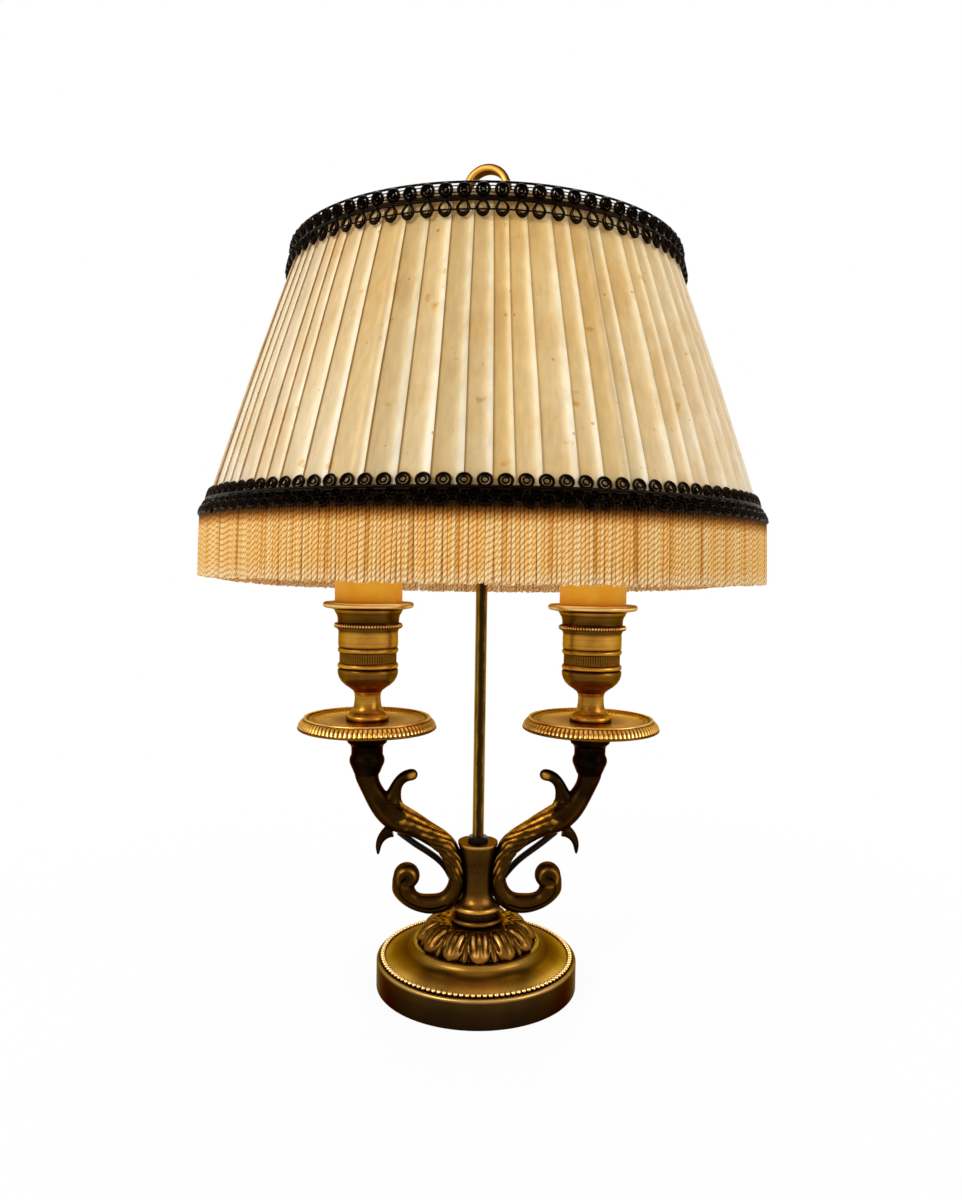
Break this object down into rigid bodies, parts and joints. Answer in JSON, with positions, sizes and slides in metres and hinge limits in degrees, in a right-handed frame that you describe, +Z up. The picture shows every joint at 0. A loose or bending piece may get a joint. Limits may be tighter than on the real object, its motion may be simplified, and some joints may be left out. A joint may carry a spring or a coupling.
{
  "type": "bouillotte lamp",
  "caption": "Two-light brass bouillotte table lamp: scrolled arms on a leaf dome, candle cups over drip pans, pleated drum shade with gimp braid and fringe, ring finial.",
  "frame": {"origin": "centre of the underside of the foot, on the rod's axis", "axes": "+Z up along the rod; the two arms lie along -X and +X; -Y is the front and the lead leaves at +Y"},
  "size_m": [0.2374, 0.2374, 0.3562],
  "materials": {
    "cast_brass_dark": "aged dark patina, worn bright on the high spots",
    "polished_brass": "satin, lightly tarnished",
    "rod_brass": "drawn, satin",
    "steel": "zinc plated",
    "frame_wire": "white-painted wire",
    "black_plastic": "moulded",
    "white_porcelain": "glazed",
    "green_felt": "pressed felt",
    "wire_jacket": "smooth black jacket",
    "candle_card": "waxed ivory card",
    "nickel_cap": "rolled screw cap",
    "frosted_glass": "frosted",
    "pleated_silk": "pleated ivory silk",
    "lining_cloth": "smooth lining",
    "black_gimp": "glossy looped gimp braid",
    "cord_fringe": "twisted cord fringe"
  },
  "bodies": {
    "stand": {"base_foot": "cast_brass_dark", "base_pad": "green_felt", "bead_ring": "polished_brass", "lead_gland": "black_plastic", "terminal_block": "white_porcelain", "leaf_dome": "cast_brass_dark", "column": "cast_brass_dark", "rod_collar": "black_plastic", "center_rod": "rod_brass", "tie_washer": "steel", "tie_nut": "steel", "left_arm": "cast_brass_dark", "right_arm": "cast_brass_dark", "arm_studs": "steel", "left_wire": "wire_jacket", "right_wire": "wire_jacket", "wire_grommets": "black_plastic", "left_pan": "polished_brass", "left_cup": "polished_brass", "left_nipple": "steel", "left_cup_nut": "steel", "left_candle_sleeve": "candle_card", "left_lampholder": "black_plastic", "left_contact": "rod_brass", "right_pan": "polished_brass", "right_cup": "polished_brass", "right_nipple": "steel", "right_cup_nut": "steel", "right_candle_sleeve": "candle_card", "right_lampholder": "black_plastic", "right_contact": "rod_brass"},
    "shade_stop": {"stop_collar": "rod_brass"},
    "clamp_screw": {"thumb_screw": "polished_brass"},
    "shade": {"spider": "frame_wire", "shade_frame": "frame_wire", "shade_cover": "pleated_silk", "shade_lining": "lining_cloth", "top_braid": "black_gimp", "bottom_braid": "black_gimp", "fringe": "cord_fringe"},
    "finial": {"ring_finial": "polished_brass"},
    "left_bulb": {"left_bulb_cap": "nickel_cap", "left_bulb_glass": "frosted_glass"},
    "right_bulb": {"right_bulb_cap": "nickel_cap", "right_bulb_glass": "frosted_glass"}
  },
  "joints": [
    {"name": "shade_height", "type": "slide", "parent": "stand", "child": "shade_stop", "axis": [0, 0, 1], "range_m": [-0.025, 0.02]},
    {"name": "shade_turn", "type": "hinge", "parent": "shade_stop", "child": "shade", "pos_m": [0, 0, 0.303], "axis": [0, 0, 1], "continuous": true},
    {"name": "clamp_screw_turn", "type": "hinge", "parent": "shade_stop", "child": "clamp_screw", "pos_m": [0, 0.006, 0.2974], "axis": [0, 1, 0], "continuous": true},
    {"name": "finial_turn", "type": "hinge", "parent": "stand", "child": "finial", "pos_m": [0, 0, 0.331], "axis": [0, 0, 1], "continuous": true},
    {"name": "left_bulb_turn", "type": "hinge", "parent": "stand", "child": "left_bulb", "pos_m": [-0.04915, 0, 0.2], "axis": [0, 0, 1], "continuous": true},
    {"name": "right_bulb_turn", "type": "hinge", "parent": "stand", "child": "right_bulb", "pos_m": [0.04915, 0, 0.2], "axis": [0, 0, 1], "continuous": true}
  ]
}
